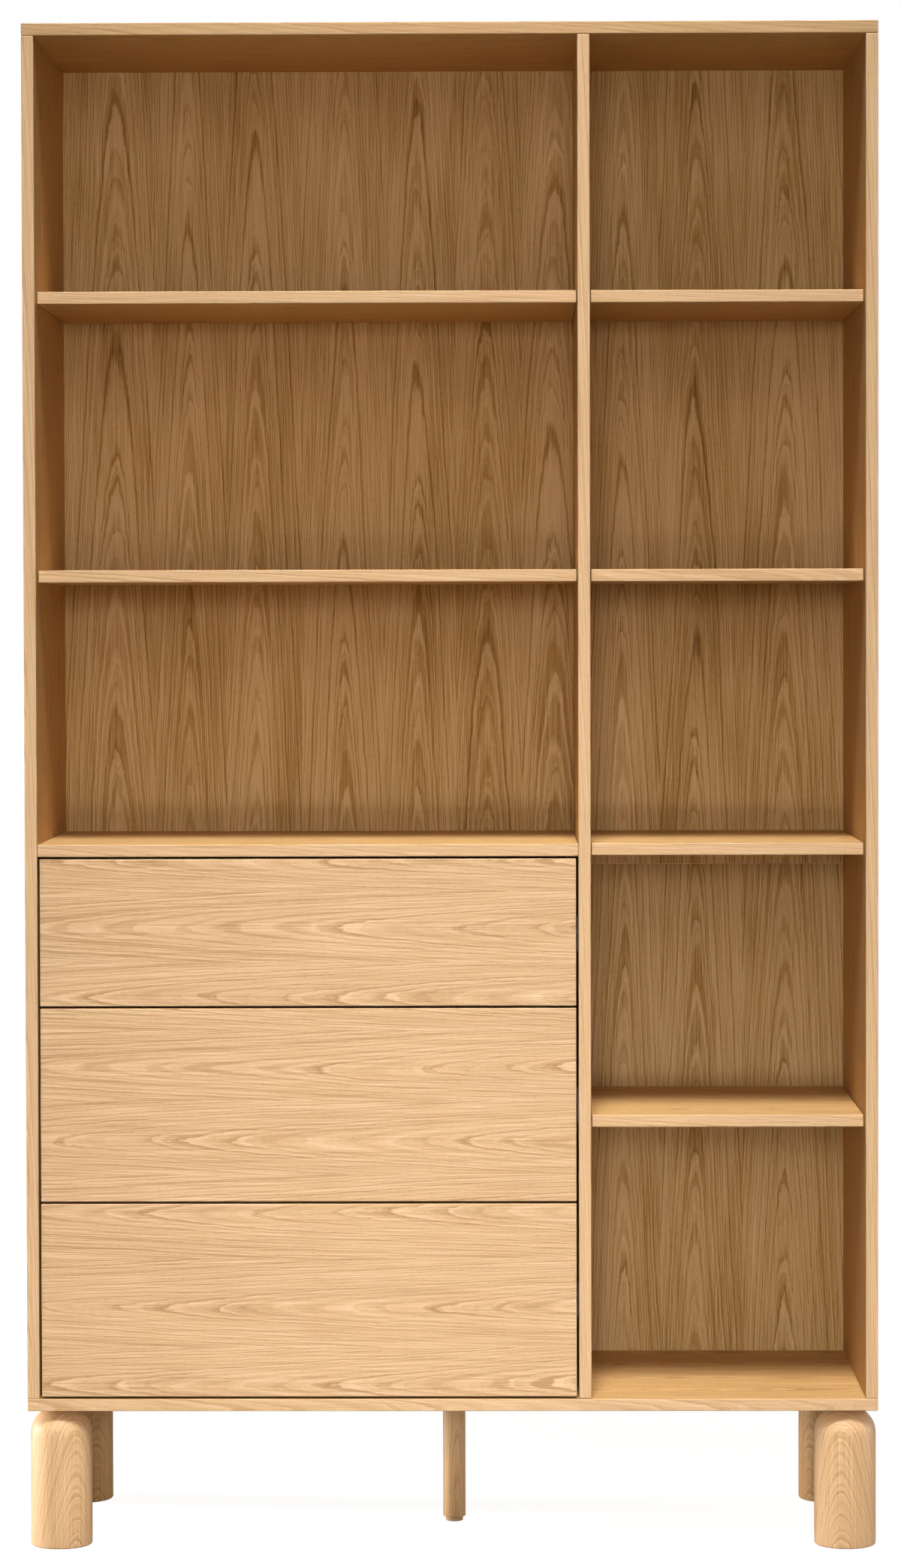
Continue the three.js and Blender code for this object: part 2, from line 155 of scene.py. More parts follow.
def makeStudio(values):
    world = bpy.data.worlds.new("studioWorld")
    world.use_nodes = True
    world.node_tree.nodes.clear()
    tree = world.node_tree
    path = addNode(tree, "ShaderNodeLightPath")
    seen = addNode(tree, "ShaderNodeMath", {"operation": "MAXIMUM"},
                   {0: path.outputs["Is Camera Ray"], 1: path.outputs["Is Glossy Ray"]})
    level = addNode(tree, "ShaderNodeMapRange", {"To Min": values["worldLevel"], "To Max": 1},
                    {"Value": seen.outputs[0]})
    sky = addNode(tree, "ShaderNodeBackground", {"Color": (1, 1, 1, 1)},
                  {"Strength": level.outputs[0]})
    addNode(tree, "ShaderNodeOutputWorld", links={"Surface": sky.outputs[0]})
    bpy.context.scene.world = world

    shape = bmesh.new()
    bmesh.ops.create_grid(shape, x_segments=1, y_segments=1, size=values["floorSize"] / 2)
    mesh = keepMesh(shape, "studioFloor")
    floor = addObject("studioFloor", mesh)
    # matt painted floor; the camera sees it nearly white, with the shadow kept
    material, tree = newMaterial("paintedFloor")
    path = addNode(tree, "ShaderNodeLightPath")
    paint = addNode(tree, "ShaderNodeBsdfDiffuse", {"Color": toLinear(values["floorColour"])})
    held = addNode(tree, "ShaderNodeTexCoord")
    away = addNode(tree, "ShaderNodeVectorMath", {"operation": "LENGTH"},
                   {0: held.outputs["Object"]})
    near, far = values["floorGlow"]
    start, end = values["glowReach"]
    level = addNode(tree, "ShaderNodeMapRange",
                    {"From Min": start, "From Max": end, "To Min": near, "To Max": far},
                    {"Value": away.outputs["Value"]})
    glow = addNode(tree, "ShaderNodeEmission", {"Color": (1, 1, 1, 1)},
                   {"Strength": level.outputs[0]})
    both = addNode(tree, "ShaderNodeAddShader", links={0: paint.outputs[0], 1: glow.outputs[0]})
    shown = addNode(tree, "ShaderNodeMixShader",
                    links={0: path.outputs["Is Camera Ray"], 1: paint.outputs[0], 2: both.outputs[0]})
    addNode(tree, "ShaderNodeOutputMaterial", links={"Surface": shown.outputs[0]})
    mesh.materials.append(material)

    for name, (place, target, size, watts, spread) in values["lamps"].items():
        data = bpy.data.lights.new(name, "AREA")
        data.shape = "RECTANGLE"
        data.size, data.size_y = size
        data.energy = watts
        data.spread = math.radians(spread)
        lamp = addObject(name, data)
        facing = (Vector(target) - Vector(place)).to_track_quat("-Z", "Y")
        lamp.matrix_world = Matrix.Translation(place) @ facing.to_matrix().to_4x4()
        lamp.visible_camera = False


makeStudio(studio)
print("studio made")

# Oak, flat cut, with cathedral figure. A sheet is a slice through the rings of a log
# whose heart lies behind it. The rings leave the sheet slowly along the grain, so
# that they meet it in nested arches. A leg is cut from the same kind of log.

oakFigure = {
    "ringWidth": 3.4,         # mm
    "sway": 7,                # mm that the grain wanders sideways
    "wave": 1.8,              # mm, slow bending of the arches
    "jag": 1.1,               # mm, their uneven edges
    "unevenRings": 0.9,
    "lineRise": 0.12,         # share of a ring
    "lineFade": 0.8,
    "lineDepth": 0.5,
    "faintLine": 0.25,        # depth of the faintest line, as a share of that
    "yearScale": 0.45,        # how soon lean years follow good ones
    "threadScale": 2.6,       # growth lines to a ring, about
    "poreFrom": (0.56, 0.7),  # pore noise where a pore begins and where it is full
    "meanShade": 0.62,        # of the wood between the lines
    "fibreDepth": 1.4,
    "threadDepth": 0.75,
    "poreDepth": 0.16,
    # across and along the grain in mm, detail, roughness; the fibres and pores are
    # about three times as coarse as in the real wood, so that they show
    "noises": {
        "sway": (160, 520, 1, 0.5),
        "wave": (34, 190, 1.5, 0.5),
        "jag": (8, 32, 2, 0.6),
        "fibre": (1.1, 130, 2, 0.6),
        "pore": (0.7, 9, 1, 0.5),
        "tone": (70, 420, 2, 0.5),
    },
}


def makeOakGrain(values):
    group = bpy.data.node_groups.new("oakGrain", "ShaderNodeTree")
    for name, kind in (("Place", "Vector"), ("Seed", "Vector"), ("Centre", "Float"),
                       ("Heart", "Float"), ("Taper", "Float")):
        group.interface.new_socket(name=name, in_out="INPUT", socket_type="NodeSocket" + kind)
    for name in ("Shade", "Pore", "Tone"):
        group.interface.new_socket(name=name, in_out="OUTPUT", socket_type="NodeSocketFloat")
    given = addNode(group, "NodeGroupInput").outputs
    place = addNode(group, "ShaderNodeSeparateXYZ", links={0: given["Place"]}).outputs
    seeded = addNode(group, "ShaderNodeVectorMath", {"operation": "ADD"},
                     {0: given["Place"], 1: given["Seed"]})
    noises = {}
    for name, (across, along, detail, roughness) in values["noises"].items():
        scaled = addNode(group, "ShaderNodeVectorMath",
                         {"operation": "DIVIDE", 1: (across, along, across)},
                         {0: seeded.outputs[0]})
        noises[name] = addNode(group, "ShaderNodeTexNoise",
                               {"Scale": 1, "Detail": detail, "Roughness": roughness},
                               {"Vector": scaled.outputs[0]}).outputs[0]
    shifts = {}
    for name in ("sway", "wave", "jag"):
        size = values[name]
        shifts[name] = addNode(group, "ShaderNodeMath",
                               {"operation": "MULTIPLY_ADD", 1: 2 * size, 2: -size},
                               {0: noises[name]}).outputs[0]
    # distance from the log's heart, less what the taper takes along the grain
    aside = addNode(group, "ShaderNodeMath", {"operation": "ADD"},
                    {0: place["X"], 1: shifts["sway"]})
    aside = addNode(group, "ShaderNodeMath", {"operation": "SUBTRACT"},
                    {0: aside.outputs[0], 1: given["Centre"]})
    deep = addNode(group, "ShaderNodeMath", {"operation": "ADD"},
                   {0: place["Z"], 1: given["Heart"]})
    spoke = addNode(group, "ShaderNodeCombineXYZ", links={0: aside.outputs[0], 1: deep.outputs[0]})
    radius = addNode(group, "ShaderNodeVectorMath", {"operation": "LENGTH"},
                     {0: spoke.outputs[0]})
    rise = addNode(group, "ShaderNodeMath", {"operation": "MULTIPLY_ADD"},
                   {0: place["Y"], 1: given["Taper"], 2: radius.outputs["Value"]})
    rise = addNode(group, "ShaderNodeMath", {"operation": "ADD"},
                   {0: rise.outputs[0], 1: shifts["wave"]})
    rise = addNode(group, "ShaderNodeMath", {"operation": "ADD"},
                   {0: rise.outputs[0], 1: shifts["jag"]})
    rings = addNode(group, "ShaderNodeMath", {"operation": "DIVIDE", 1: values["ringWidth"]},
                    {0: rise.outputs[0]})
    # good and lean years: rings of uneven width
    years = addNode(group, "ShaderNodeTexNoise",
                    {"noise_dimensions": "1D", "Scale": values["yearScale"], "Detail": 1},
                    {"W": rings.outputs[0]})
    rings = addNode(group, "ShaderNodeMath",
                    {"operation": "MULTIPLY_ADD", 1: 2 * values["unevenRings"]},
                    {0: years.outputs[0], 2: rings.outputs[0]})
    year = addNode(group, "ShaderNodeMath", {"operation": "FLOOR"}, {0: rings.outputs[0]})
    season = addNode(group, "ShaderNodeMath", {"operation": "FRACT"}, {0: rings.outputs[0]})
    strength = addNode(group, "ShaderNodeTexWhiteNoise", {"noise_dimensions": "1D"},
                       {"W": year.outputs[0]})
    strength = addNode(group, "ShaderNodeMapRange",
                       {"To Min": values["faintLine"] * values["lineDepth"],
                        "To Max": values["lineDepth"]},
                       {"Value": strength.outputs[0]})
    # each ring starts sharp and dark and fades
    start = addNode(group, "ShaderNodeMapRange",
                    {"interpolation_type": "SMOOTHSTEP", "From Max": values["lineRise"]},
                    {"Value": season.outputs[0]})
    fade = addNode(group, "ShaderNodeMapRange",
                   {"interpolation_type": "SMOOTHSTEP", "From Min": values["lineRise"],
                    "From Max": values["lineFade"]},
                   {"Value": season.outputs[0]})
    line = addNode(group, "ShaderNodeMath", {"operation": "SUBTRACT"},
                   {0: start.outputs[0], 1: fade.outputs[0]})
    line = addNode(group, "ShaderNodeMath", {"operation": "MULTIPLY"},
                   {0: line.outputs[0], 1: strength.outputs[0]})
    # finer growth lines that follow the rings
    threads = addNode(group, "ShaderNodeTexNoise",
                      {"noise_dimensions": "1D", "Scale": values["threadScale"], "Detail": 2,
                       "Roughness": 0.7},
                      {"W": rings.outputs[0]})
    low, high = values["poreFrom"]
    pore = addNode(group, "ShaderNodeMapRange",
                   {"interpolation_type": "SMOOTHSTEP", "From Min": low, "From Max": high},
                   {"Value": noises["pore"]})
    shade = addNode(group, "ShaderNodeMath",
                    {"operation": "MULTIPLY_ADD", 1: values["fibreDepth"],
                     2: values["meanShade"] - 0.5 * (values["fibreDepth"] + values["threadDepth"])},
                    {0: noises["fibre"]})
    shade = addNode(group, "ShaderNodeMath",
                    {"operation": "MULTIPLY_ADD", 1: values["threadDepth"]},
                    {0: threads.outputs[0], 2: shade.outputs[0]})
    shade = addNode(group, "ShaderNodeMath", {"operation": "SUBTRACT"},
                    {0: shade.outputs[0], 1: line.outputs[0]})
    shade = addNode(group, "ShaderNodeMath",
                    {"operation": "MULTIPLY_ADD", 1: -values["poreDepth"]},
                    {0: pore.outputs[0], 2: shade.outputs[0]})
    addNode(group, "NodeGroupOutput",
            links={"Shade": shade.outputs[0], "Pore": pore.outputs[0], "Tone": noises["tone"]})
    return group


oakGrain = makeOakGrain(oakFigure)

# oak under a clear matt lacquer: warm honey, faint darker lines, a dull sheen
oakFinish = {
    "darkAt": 0,              # shades at which the colours lie
    "deepAt": 0.42,
    "middleAt": 0.62,
    "plainShade": 0.6,        # what a weaker figure fades to
    "dark": "#b28759",        # line where the spring pores lie
    "middle": "#dbb488",
    "light": "#eacca5",
    "ruddy": "#d9af80",       # slow change of hue over a leaf
    "ruddyFrom": (0.35, 0.75),  # tone where the hue begins to turn, and where it has turned
    "ruddyShare": 0.5,
    "roughness": 0.58,
    "poreRoughness": 0.12,
    "specular": 0.3,
    "bumpDepth": 0.00006,     # m
    "figure": 1,              # how bold the figure is
    "bandFigure": 0.55,       # and on the edge bands
    "cloud": 0.15,            # slow changes from light to dark over a leaf
}

# the faces of the boards are a deeper honey than their edge bands: painted shade, a shaded copy of
# the oak for the insides of the bays
shadedBoardFinish = dict(oakFinish, dark="#a3743c", middle="#d1a86e", light="#e1c08e", ruddy="#cea166",
                   band="#ddb689")
# the top board's edge band is darker still: painted shade, as the front grows darker towards the top
shadedTopBoardFinish = dict(shadedBoardFinish, band="#cea777")
solidFinish = dict(oakFinish, dark="#a97a45", middle="#deb485", light="#eecda1", ruddy="#dcae7b",
                   roughness=0.5, specular=0.4, figure=0.7)
# the rear legs get a slightly deeper colour of the same oak: painted shade, where they stand in the
# case's shadow
shadedRearLegFinish = dict(solidFinish, dark="#a57139", middle="#d7a771", light="#e6bf89",
                     ruddy="#d5a268")

# the thin back sheets are a plainer cut of oak with darker lines; their yellower, deeper colour is
# painted shade for the shaded backs of the bays
shadedBackFinish = dict(oakFinish, dark="#7e4e04", deep="#b6893e", middle="#d7b074", light="#efcf98",
                  ruddy="#d4a86d", darkAt=0.18, figure=0.54, cloud=0.45)
# the lower sheet is a shade darker still: painted shade, to hold down the lower bays, which the lamps
# light more
shadedLowerBackFinish = dict(shadedBackFinish, dark="#764903", deep="#aa8039", middle="#c9a46d",
                       light="#dfc18e", ruddy="#c69d66")

facingFrom = 0.7              # share of the normal along an axis that makes a face face it


def placeInWood(tree, held, order, turn):
    # order names the axes that run across, along and through the wood, and turn
    # gives their directions and where each starts, in mm
    axes = addNode(tree, "ShaderNodeSeparateXYZ", links={0: held.outputs["Object"]}).outputs
    place = addNode(tree, "ShaderNodeCombineXYZ",
                    links={i: axes[axis] for i, axis in enumerate(order)})
    return addNode(tree, "ShaderNodeVectorMath",
                   {"operation": "MULTIPLY_ADD", 1: [1000 * way for way, _ in turn],
                    2: [-way * start for way, start in turn]},
                   {0: place.outputs[0]}).outputs[0]


def facesAlong(tree, held, axis):
    # 1 on the faces that look along the axis, either way
    facing = addNode(tree, "ShaderNodeSeparateXYZ", links={0: held.outputs["Normal"]}).outputs
    share = addNode(tree, "ShaderNodeMath", {"operation": "ABSOLUTE"}, {0: facing[axis]})
    return addNode(tree, "ShaderNodeMath", {"operation": "GREATER_THAN", 1: facingFrom},
                   {0: share.outputs[0]}).outputs[0]


# how a plan of leaves is kept in the colours of a ramp: its reach in mm from a little
# before the first leaf, the deepest heart, the longest slide, and the last leaf's width
leafPlan = {"reach": 2000, "before": 100, "heart": 200, "slide": 1000, "last": 200}


def planLeaves(tree, grain, place, leaves, values=leafPlan):
    # a stepped ramp tells which leaf of veneer this is: its centre, heart and slide
    parts = addNode(tree, "ShaderNodeSeparateXYZ", links={0: place}).outputs
    low = leaves[0][0]
    high = leaves[-1][0] + values["last"]
    first = low - values["before"]
    share = addNode(tree, "ShaderNodeMapRange", {"From Min": low, "From Max": high},
                    {"Value": parts["X"]})
    ramp = addNode(tree, "ShaderNodeValToRGB", links={0: share.outputs[0]})
    ramp.color_ramp.interpolation = "CONSTANT"
    steps = ramp.color_ramp.elements
    steps.remove(steps[1])
    for i, (edge, centre, heart, slide) in enumerate(leaves):
        step = steps[0] if i == 0 else steps.new((edge - low) / (high - low))
        step.color = ((centre - first) / values["reach"], heart / values["heart"],
                      slide / values["slide"], 1)
    plan = addNode(tree, "ShaderNodeSeparateColor", links={0: ramp.outputs[0]}).outputs
    centre = addNode(tree, "ShaderNodeMath",
                     {"operation": "MULTIPLY_ADD", 1: values["reach"], 2: first}, {0: plan[0]})
    heart = addNode(tree, "ShaderNodeMath", {"operation": "MULTIPLY", 1: values["heart"]},
                    {0: plan[1]})
    along = addNode(tree, "ShaderNodeMath", {"operation": "MULTIPLY_ADD", 1: values["slide"]},
                    {0: plan[2], 2: parts["Y"]})
    moved = addNode(tree, "ShaderNodeCombineXYZ",
                    links={0: parts["X"], 1: along.outputs[0], 2: parts["Z"]})
    for socket, source in (("Place", moved), ("Centre", centre), ("Heart", heart)):
        tree.links.new(source.outputs[0], grain.inputs[socket])


def makeOak(name, order, turn, leaves, seed, taper=0.047, finish=oakFinish):
    # several leaves make a veneered board with edge bands, a single one solid wood
    material, tree = newMaterial(name)
    held = addNode(tree, "ShaderNodeTexCoord")
    place = placeInWood(tree, held, order, turn)
    draw = random.Random(seed)
    grain = addNode(tree, "ShaderNodeGroup", {"node_tree": oakGrain, "Taper": taper})
    grain.inputs["Seed"].default_value = [draw.uniform(0, 4000) for _ in range(3)]
    figured = addNode(tree, "ShaderNodeMix",
                      {"data_type": "FLOAT", 0: finish["figure"], 2: finish["plainShade"]},
                      {3: grain.outputs["Shade"]})
    if len(leaves) > 1:
        # the ends carry an edge band, whose grain runs along the edge
        band = facesAlong(tree, held, order[1])
        parts = addNode(tree, "ShaderNodeSeparateXYZ", links={0: place}).outputs
        turned = addNode(tree, "ShaderNodeCombineXYZ",
                         links={0: parts["Z"], 1: parts["X"], 2: parts["Y"]})
        place = addNode(tree, "ShaderNodeMix", {"data_type": "VECTOR"},
                        {0: band, 4: place, 5: turned.outputs[0]}).outputs[1]
        planLeaves(tree, grain, place, leaves)
        # the bands along the other edges are cut straighter, with less figure
        edge = facesAlong(tree, held, order[0])
        bold = addNode(tree, "ShaderNodeMapRange",
                       {"To Min": finish["figure"], "To Max": finish["bandFigure"]},
                       {"Value": edge})
        tree.links.new(bold.outputs[0], figured.inputs[0])
    else:
        grain.inputs["Centre"].default_value = leaves[0][1]
        grain.inputs["Heart"].default_value = leaves[0][2]
        tree.links.new(place, grain.inputs["Place"])
    shade = addNode(tree, "ShaderNodeMath",
                    {"operation": "MULTIPLY_ADD", 1: finish["cloud"]},
                    {0: grain.outputs["Tone"], 2: figured.outputs[0]})
    shade = addNode(tree, "ShaderNodeMath", {"operation": "SUBTRACT", 1: 0.5 * finish["cloud"]},
                    {0: shade.outputs[0]})
    colours = addNode(tree, "ShaderNodeValToRGB", links={0: shade.outputs[0]})
    stops = colours.color_ramp.elements
    stops[0].position = finish["darkAt"]
    stops[0].color = toLinear(finish["dark"])
    stops[1].color = toLinear(finish["light"])
    stops.new(finish["middleAt"]).color = toLinear(finish["middle"])
    if "deep" in finish:
        stops.new(finish["deepAt"]).color = toLinear(finish["deep"])
    low, high = finish["ruddyFrom"]
    ruddy = addNode(tree, "ShaderNodeMapRange",
                    {"From Min": low, "From Max": high, "To Max": finish["ruddyShare"]},
                    {"Value": grain.outputs["Tone"]})
    tint = addNode(tree, "ShaderNodeMix", {"data_type": "RGBA", "blend_type": "MULTIPLY", 0: 1},
                   {6: colours.outputs[0]})
    base = toLinear(finish["middle"])
    warm = toLinear(finish["ruddy"])
    tint.inputs[7].default_value = tuple(w / b for w, b in zip(warm, base))
    colour = addNode(tree, "ShaderNodeMix", {"data_type": "RGBA"},
                     {0: ruddy.outputs[0], 6: colours.outputs[0], 7: tint.outputs[2]})
    if "band" in finish:
        edges = addNode(tree, "ShaderNodeMath", {"operation": "MAXIMUM"}, {0: edge, 1: band})
        paler = tuple(c / b for c, b in zip(toLinear(finish["band"]), base))
        colour = addNode(tree, "ShaderNodeMix",
                         {"data_type": "RGBA", "blend_type": "MULTIPLY", 7: paler},
                         {0: edges.outputs[0], 6: colour.outputs[2]})
    rough = addNode(tree, "ShaderNodeMapRange",
                    {"To Min": finish["roughness"],
                     "To Max": finish["roughness"] + finish["poreRoughness"]},
                    {"Value": grain.outputs["Pore"]})
    bump = addNode(tree, "ShaderNodeBump", {"Strength": 1, "Distance": finish["bumpDepth"]},
                   {"Height": grain.outputs["Shade"]})
    lacquer = addNode(tree, "ShaderNodeBsdfPrincipled",
                      {"IOR": 1.5, "Specular IOR Level": finish["specular"]},
                      {"Base Color": colour.outputs[2], "Roughness": rough.outputs[0],
                       "Normal": bump.outputs[0]})
    addNode(tree, "ShaderNodeOutputMaterial", links={"Surface": lacquer.outputs[0]})
    return material


def repaint(name, material):
    node = nodes[name]
    for slot in node.material_slots:
        slot.link = "DATA"
    node.data.materials.clear()
    node.data.materials.append(material)


# The boards and which way their veneer runs

boards = {
    # name: axes across, along and through, seed
    "top_board": ("YXZ", 1),
    "bottom_board": ("YXZ", 2),
    "drawer_case_top": ("YXZ", 3),
    "lower_left_shelf": ("YXZ", 4),
    "upper_left_shelf": ("YXZ", 5),
    "right_shelf_1": ("YXZ", 6),
    "right_shelf_2": ("YXZ", 7),
    "right_shelf_3": ("YXZ", 8),
    "right_shelf_4": ("YXZ", 9),
    "left_side_board": ("YZX", 10),
    "right_side_board": ("YZX", 11),
    "divider_board": ("YZX", 12),
}

# how leaves are drawn, in mm; their start and middle are shares of the width
leafCut = {"width": 100, "start": (0.1, 0.9), "middle": (0.4, 0.6), "heart": (14, 34),
           "slide": (0, 1000)}


def drawLeaves(low, high, seed, values=leafCut):
    # leaves of one log laid side by side over a board
    draw = random.Random(seed)
    leaves = []
    width = values["width"]
    edge = low - draw.uniform(*values["start"]) * width
    while edge < high:
        centre = edge + width * draw.uniform(*values["middle"])
        leaves.append((edge, centre, draw.uniform(*values["heart"]),
                       draw.uniform(*values["slide"])))
        edge += width
    return leaves


for name, (order, seed) in boards.items():
    low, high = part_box(name)
    across, through = ("XYZ".index(order[i]) for i in (0, 2))
    leaves = drawLeaves(low[across] * 1000, high[across] * 1000, seed)
    turn = ((1, 0), (1, 0), (1, high[through] * 1000))
    finish = shadedTopBoardFinish if name == "top_board" else shadedBoardFinish
    repaint(name, makeOak("oakVeneer_" + name, order, turn, leaves, seed, finish=finish))

# The back sheets: arches point up. Each leaf is where it starts across, its middle,
# how far its log's heart lies behind it, and how far it is slid along the grain, in mm

backLeaves = [
    (-560, -463, 34, 0), (-413, -363, 16, 210), (-316, -270, 20, 20), (-210, -150, 16, 640),
    (-99, -48, 20, 330), (-1, 45, 30, 810), (92, 138, 34, 120), (186, 233, 16, 540),
    (282, 332, 20, 700), (393, 454, 26, 60),
]
for name, seed, slide, finish in (("lower_back_sheet", 21, 137, shadedLowerBackFinish),
                                  ("upper_back_sheet", 22, 0, shadedBackFinish)):
    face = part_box(name)[0][1] * 1000
    repaint(name, makeOak("oakVeneer_" + name, "XZY", ((1, 0), (1, -slide), (1, face)),
                          backLeaves, seed, finish=finish))

# The drawer fronts: cut from one run of leaves, arches point to the left

drawerLeaves = [
    (150, 215, 24, 0), (262, 315, 18, 260), (376, 438, 20, 510), (484, 531, 26, 130),
    (579, 627, 18, 770), (671, 716, 22, 400), (760, 803.5, 26, 640), (850, 893, 20, 90),
]
drawerSeed = 31
for name in ("lower_drawer_front", "middle_drawer_front", "upper_drawer_front"):
    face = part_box(name)[0][1] * 1000
    repaint(name, makeOak("oakVeneer_" + name, "ZXY", ((1, 0), (-1, 0), (1, face)),
                          drawerLeaves, drawerSeed))
print("veneers made")

# Turned pieces: a half outline is spun round, then its corners are rounded

tiny = 0.000001
sharpAngle = 40               # degrees


def turnPiece(name, outline, corners, steps, place):
    # corners: index in the outline, radius and segments of the round
    shape = bmesh.new()
    points = [shape.verts.new((x, 0, z)) for x, z in outline]
    edges = [shape.edges.new(pair) for pair in zip(points, points[1:])]
    bmesh.ops.spin(shape, geom=points + edges, cent=(0, 0, 0), axis=(0, 0, 1), dvec=(0, 0, 0),
                   angle=2 * math.pi, steps=steps, use_merge=True)
    bmesh.ops.remove_doubles(shape, verts=shape.verts, dist=tiny)
    bmesh.ops.recalc_face_normals(shape, faces=shape.faces)
    for index, radius, segments in corners:
        x, z = outline[index]
        rim = [edge for edge in shape.edges
               if all(abs(v.co.z - z) < tiny and abs(v.co.xy.length - x) < tiny
                      for v in edge.verts)]
        bmesh.ops.bevel(shape, geom=rim, offset=radius, offset_type="OFFSET", affect="EDGES",
                        segments=segments, profile=0.5, material=-1)
    bmesh.ops.translate(shape, verts=shape.verts, vec=place)
    mesh = keepMesh(shape, name)
    mesh.shade_smooth()
    mesh.set_sharp_from_angle(angle=math.radians(sharpAngle))
    return addObject(name, mesh)


asItStands = ((1, 0), (1, 0), (1, 0))    # a leg's wood keeps the frame's axes

roundLeg = {
    "radius": 0.040,
    "height": 0.1798,
    "topRound": (0.034, 20),  # radius, segments
    "footRound": (0.003, 4),
    "boreRadius": 0.0043,
    "boreEnd": 0.1388,
    "steps": 120,
    "taper": 0.25,
    # piece: CAD node, place, heart's place beside and in front of the middle in mm, seed
    "frontLegs": {
        "frontLeftLeg": ("front_left_leg", (-0.51, -0.15, 0), 48, 70, 41),
        "frontRightLeg": ("front_right_leg", (0.51, -0.15, 0), -17, 83, 42),
    },
    "rearLegs": {
        "rearLeftLeg": ("rear_left_leg", (-0.51, 0.15, 0), 47, 70, 43),
        "rearRightLeg": ("rear_right_leg", (0.51, 0.15, 0), -57, 62, 44),
    },
}


def makeRoundLegs(values, legs, finish):
    radius, top = values["radius"], values["height"]
    bore, boreEnd = values["boreRadius"], values["boreEnd"]
    outline = [(0, 0), (radius, 0), (radius, top), (bore, top), (bore, boreEnd), (0, boreEnd)]
    corners = [(1, *values["footRound"]), (2, *values["topRound"])]
    for name, (node, place, beside, before, seed) in legs.items():
        piece = turnPiece(name, outline, corners, values["steps"], place)
        heart = (0, place[0] * 1000 + beside, before - place[1] * 1000, 0)
        piece.data.materials.append(makeOak("solidOak_" + name, "XZY", asItStands, [heart], seed,
                                            taper=values["taper"], finish=finish))
        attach(piece, "case")
        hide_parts(node)


makeRoundLegs(roundLeg, roundLeg["frontLegs"], solidFinish)
makeRoundLegs(roundLeg, roundLeg["rearLegs"], shadedRearLegFinish)

centreLeg = {
    "radius": 0.015,
    "low": 0.006,
    "high": 0.1798,
    "edgeRound": (0.001, 3),  # radius, segments
    "boreRadius": 0.0043,
    "boreEnd": 0.1388,
    "stemBoreEnd": 0.040,
    "steps": 64,
    "beside": 9,              # mm from the middle to the log's heart
    "before": 40,
    "seed": 45,
    # a deeper colour of the same oak: painted shade, where the leg stands back under the bottom board
    "finish": dict(solidFinish, dark="#a5784a", middle="#d2a777", light="#e2c094",
                   ruddy="#cfa26f"),
}


def makeCentreLeg(values):
    radius, low, high = values["radius"], values["low"], values["high"]
    bore, boreEnd, stemEnd = values["boreRadius"], values["boreEnd"], values["stemBoreEnd"]
    outline = [(0, stemEnd), (bore, stemEnd), (bore, low), (radius, low), (radius, high),
               (bore, high), (bore, boreEnd), (0, boreEnd)]
    corners = [(3, *values["edgeRound"]), (4, *values["edgeRound"])]
    piece = turnPiece("centreLeg", outline, corners, values["steps"], (0, 0, 0))
    heart = (0, values["beside"], values["before"], 0)
    piece.data.materials.append(makeOak("solidOak_centreLeg", "XZY", asItStands, [heart],
                                        values["seed"], finish=values["finish"]))
    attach(piece, "case")
    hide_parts("centre_leg")


makeCentreLeg(centreLeg)
print("legs made")

centreFoot = {
    "radius": 0.0115,
    "height": 0.005,
    "edgeRound": (0.001, 4),  # radius, segments
    "steps": 64,
    "colour": ("#b98f63", "#ad8257"),
    "colourAt": (0.35, 0.65),
    "roughness": (0.44, 0.54),
    "cloud": 9,               # mm, slow changes of colour
    "grain": 0.35,            # mm, of the moulded skin
    "grainDepth": 0.00003,    # m
}


def makeFootPlastic(values):
    # injection-moulded polyamide, dyed to the oak: even colour, dull fine-grained skin
    material, tree = newMaterial("mouldedPolyamide")
    held = addNode(tree, "ShaderNodeTexCoord")
    cloud = addNode(tree, "ShaderNodeTexNoise", {"Scale": 1000 / values["cloud"], "Detail": 3},
                    {"Vector": held.outputs["Object"]})
    colours = addNode(tree, "ShaderNodeValToRGB", links={0: cloud.outputs[0]})
    fillRamp(colours, values["colourAt"], values["colour"])
    low, high = values["roughness"]
    rough = addNode(tree, "ShaderNodeMapRange", {"To Min": low, "To Max": high},
                    {"Value": cloud.outputs[0]})
    skin = addNode(tree, "ShaderNodeTexNoise", {"Scale": 1000 / values["grain"], "Detail": 2},
                   {"Vector": held.outputs["Object"]})
    bump = addNode(tree, "ShaderNodeBump", {"Strength": 0.6, "Distance": values["grainDepth"]},
                   {"Height": skin.outputs[0]})
    shader = addNode(tree, "ShaderNodeBsdfPrincipled", {"IOR": 1.53},
                     {"Base Color": colours.outputs[0], "Roughness": rough.outputs[0],
                      "Normal": bump.outputs[0]})
    addNode(tree, "ShaderNodeOutputMaterial", links={"Surface": shader.outputs[0]})
    return material


def makeCentreFoot(values):
    radius, height = values["radius"], values["height"]
    outline = [(0, 0), (radius, 0), (radius, height), (0, height)]
    corners = [(1, *values["edgeRound"]), (2, *values["edgeRound"])]
    piece = turnPiece("centreFoot", outline, corners, values["steps"], (0, 0, 0))
    piece.data.materials.append(makeFootPlastic(values))
    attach(piece, "levelling_foot")
    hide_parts("levelling_foot")


makeCentreFoot(centreFoot)

zincFinish = {
    "colour": ("#a9adb2", "#c6c9cc"),
    "colourAt": (0.38, 0.62),
    "roughness": (0.26, 0.4),
    "roughFrom": (0.3, 0.7),
    "lineShare": 0.45,        # of the rolling marks against the clouds
    "crystal": 6,             # mm, cloudy patches of the plating
    "rollLine": (0.5, 60),    # mm across and along, marks of the rolling
    "lineDepth": 0.00001,     # m
}

# the runners' zinc is passivated black: a real finish, and painted shade that keeps the drawer gaps
# dark
gapShadeBlackZincFinish = dict(zincFinish, colour=("#2b2c2e", "#3a3b3d"), roughness=(0.32, 0.46))


